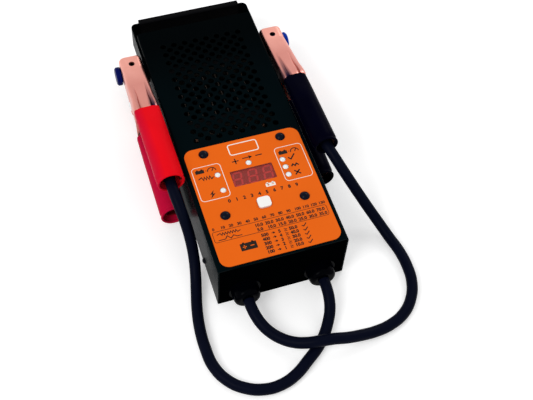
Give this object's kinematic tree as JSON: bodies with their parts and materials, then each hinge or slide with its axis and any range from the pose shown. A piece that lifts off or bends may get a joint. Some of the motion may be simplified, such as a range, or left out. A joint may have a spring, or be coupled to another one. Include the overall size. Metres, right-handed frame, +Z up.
{
  "type": "battery tester",
  "caption": "Hand-held battery load tester: perforated steel case with a label panel and display, a rear carrying handle, and two leads to sprung copper clamps parked on side posts.",
  "frame": {"origin": "centre of the case's underside", "axes": "+X to the right seen from the label side, +Y from the lead glands towards the carrying handle, +Z up out of the label"},
  "size_m": [0.1962, 0.3756, 0.0686],
  "materials": {
    "case_paint": "gloss black baked enamel on sheet steel",
    "label_print": "satin orange printed polycarbonate",
    "red_filter": "clear dark red acrylic",
    "display_body": "grey-red moulded display body",
    "circuit_board": "green solder mask",
    "zinc_steel": "bright zinc plate",
    "black_screw": "gloss black oxide",
    "lamp_lens": "milky white epoxy",
    "button_white": "white moulded cap",
    "inner_plastic": "black moulded plastic",
    "copper_bar": "plain rolled copper",
    "resistor_ribbon": "nickel-chrome ribbon",
    "ceramic": "unglazed white ceramic",
    "gland_nylon": "gloss black moulded nylon",
    "post_blue": "dark blue moulded nylon",
    "grip_foam": "matt black moulded sleeve",
    "lead_rubber": "black rubber lead jacket, slight sheen",
    "clamp_copper": "satin copper plate on pressed steel",
    "grip_red": "soft red dipped plastic",
    "grip_black": "soft black dipped plastic",
    "spring_steel": "drawn spring wire"
  },
  "bodies": {
    "tester": {"top_cover": "case_paint", "base_tray": "case_paint", "label_plate": "label_print", "display_window": "red_filter", "display_module": "display_body", "circuit_board": "circuit_board", "board_spacers": "zinc_steel", "dome_screws": "black_screw", "board_nuts": "zinc_steel", "lamp_load": "lamp_lens", "lamp_charging": "lamp_lens", "lamp_reverse": "lamp_lens", "lamp_ok": "lamp_lens", "lamp_weak": "lamp_lens", "lamp_bad": "lamp_lens", "button_switch": "inner_plastic", "load_relay": "inner_plastic", "terminal_block": "inner_plastic", "terminal_screws": "zinc_steel", "lug_red": "copper_bar", "lug_black": "copper_bar", "lead_tail_red": "lead_rubber", "lead_tail_black": "lead_rubber", "busbar_red": "copper_bar", "busbar_black": "copper_bar", "busbar_link": "copper_bar", "load_element": "resistor_ribbon", "ceramic_bars": "ceramic", "load_brackets": "zinc_steel", "gland_left": "gland_nylon", "gland_right": "gland_nylon", "gland_nuts": "inner_plastic", "side_screws": "black_screw", "clamp_post_left": "post_blue", "clamp_post_right": "post_blue", "post_nuts": "zinc_steel", "lead_red": "lead_rubber", "lead_black": "lead_rubber", "red_upper_jaw": "clamp_copper", "red_upper_grip": "grip_red", "red_rivet": "zinc_steel", "red_spring": "spring_steel", "red_crimp": "clamp_copper", "black_upper_jaw": "clamp_copper", "black_upper_grip": "grip_black", "black_rivet": "zinc_steel", "black_spring": "spring_steel", "black_crimp": "clamp_copper"},
    "handle": {"carry_strap": "case_paint", "carry_grip": "grip_foam"},
    "button": {"push_button": "button_white"},
    "red_lower_half": {"red_lower_jaw": "clamp_copper", "red_lower_grip": "grip_red"},
    "black_lower_half": {"black_lower_jaw": "clamp_copper", "black_lower_grip": "grip_black"}
  },
  "joints": [
    {"name": "handle_swing", "type": "hinge", "parent": "tester", "child": "handle", "pos_m": [0, 0.103, 0.034], "axis": [1, 0, 0], "range_deg": [-20, 130]},
    {"name": "button_press", "type": "slide", "parent": "tester", "child": "button", "axis": [0, 0, -1], "range_m": [0, 0.0005], "stiffness_N_per_m": 1500, "springref_m": -0.0002},
    {"name": "red_clamp_open", "type": "hinge", "parent": "tester", "child": "red_lower_half", "pos_m": [-0.0682, 0.0655, 0.034], "axis": [-1, 0, 0], "range_deg": [0, 10], "stiffness_Nm_per_rad": 2, "springref_deg": -20.05, "deforming": ["red_spring"]},
    {"name": "black_clamp_open", "type": "hinge", "parent": "tester", "child": "black_lower_half", "pos_m": [0.0682, 0.0655, 0.034], "axis": [-1, 0, 0], "range_deg": [0, 10], "stiffness_Nm_per_rad": 2, "springref_deg": -20.05, "deforming": ["black_spring"]}
  ]
}
